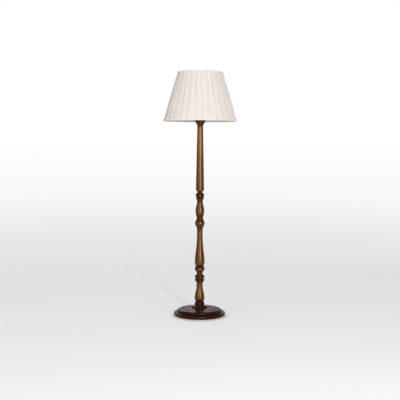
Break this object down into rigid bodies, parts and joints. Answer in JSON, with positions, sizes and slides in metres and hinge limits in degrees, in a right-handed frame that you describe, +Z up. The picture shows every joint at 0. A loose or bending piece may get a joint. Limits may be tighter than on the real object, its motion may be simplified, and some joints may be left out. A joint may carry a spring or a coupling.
{
  "type": "floor lamp",
  "caption": "Candlestick floor lamp: a turned wooden pole on a stepped round base, with a switched lampholder, a bulb and a lift-off tapered box-pleated fabric shade on a wire carrier.",
  "frame": {"origin": "centre of the felt pad's underside, on the floor, on the pole's axis", "axes": "+Z up along the pole; -Y towards the picture's camera; +X to its right; the cord inlet is at +Y"},
  "size_m": [0.4519, 0.452, 1.4857],
  "materials": {
    "felt": "matt felt",
    "mahogany": "dark polished hardwood",
    "walnut": "mid-brown polished hardwood",
    "iron": "black lacquered",
    "steel": "zinc plated",
    "brass": "satin",
    "rubber": "matt",
    "phenolic": "moulded, slightly glossy",
    "switch_plastic": "glossy",
    "solder": "soft grey",
    "bulb_metal": "satin",
    "opal_glass": "opal",
    "white_metal": "powder coated",
    "lining": "smooth lining",
    "shade_cloth": "pleated cloth with a soft sheen",
    "tape": "woven edging tape"
  },
  "bodies": {
    "stand": {"felt_pad": "felt", "base_plinth": "mahogany", "base_step": "mahogany", "base_weight": "iron", "weight_screws": "steel", "cord_grommet": "rubber", "rod_washer": "steel", "rod_nut": "steel", "threaded_rod": "steel", "pole_socket": "mahogany", "lower_baluster": "walnut", "middle_baluster": "walnut", "upper_shaft": "walnut", "candle_cup": "walnut", "cup_plate": "brass", "lock_nut": "steel", "holder_cap": "brass", "holder_insulator": "phenolic", "centre_contact": "brass", "screw_shell": "brass", "holder_skirt": "brass"},
    "switch": {"switch_bar": "switch_plastic"},
    "bulb": {"bulb_contact": "solder", "bulb_cap": "bulb_metal", "bulb_glass": "opal_glass"},
    "shade_ring": {"shade_ring": "phenolic"},
    "carrier": {"carrier_base_ring": "white_metal", "carrier_wires": "white_metal", "carrier_top_ring": "white_metal"},
    "shade": {"shade_spider": "white_metal", "shade_top_ring": "white_metal", "shade_bottom_ring": "white_metal", "shade_struts": "white_metal", "shade_lining": "lining", "shade_cover": "shade_cloth", "top_binding": "tape", "bottom_binding": "tape"}
  },
  "joints": [
    {"name": "carrier_turn", "type": "hinge", "parent": "stand", "child": "carrier", "pos_m": [0, 0, 1.234], "axis": [0, 0, 1], "continuous": true},
    {"name": "shade_lift", "type": "slide", "parent": "carrier", "child": "shade", "axis": [0, 0, 1], "range_m": [0, 0.3]},
    {"name": "shade_ring_turn", "type": "hinge", "parent": "stand", "child": "shade_ring", "pos_m": [0, 0, 1.2356], "axis": [0, 0, 1], "continuous": true},
    {"name": "bulb_turn", "type": "hinge", "parent": "stand", "child": "bulb", "pos_m": [0, 0, 1.2456], "axis": [0, 0, 1], "continuous": true},
    {"name": "switch_push", "type": "slide", "parent": "stand", "child": "switch", "axis": [1, 0, 0], "range_m": [0, 0.006]}
  ]
}
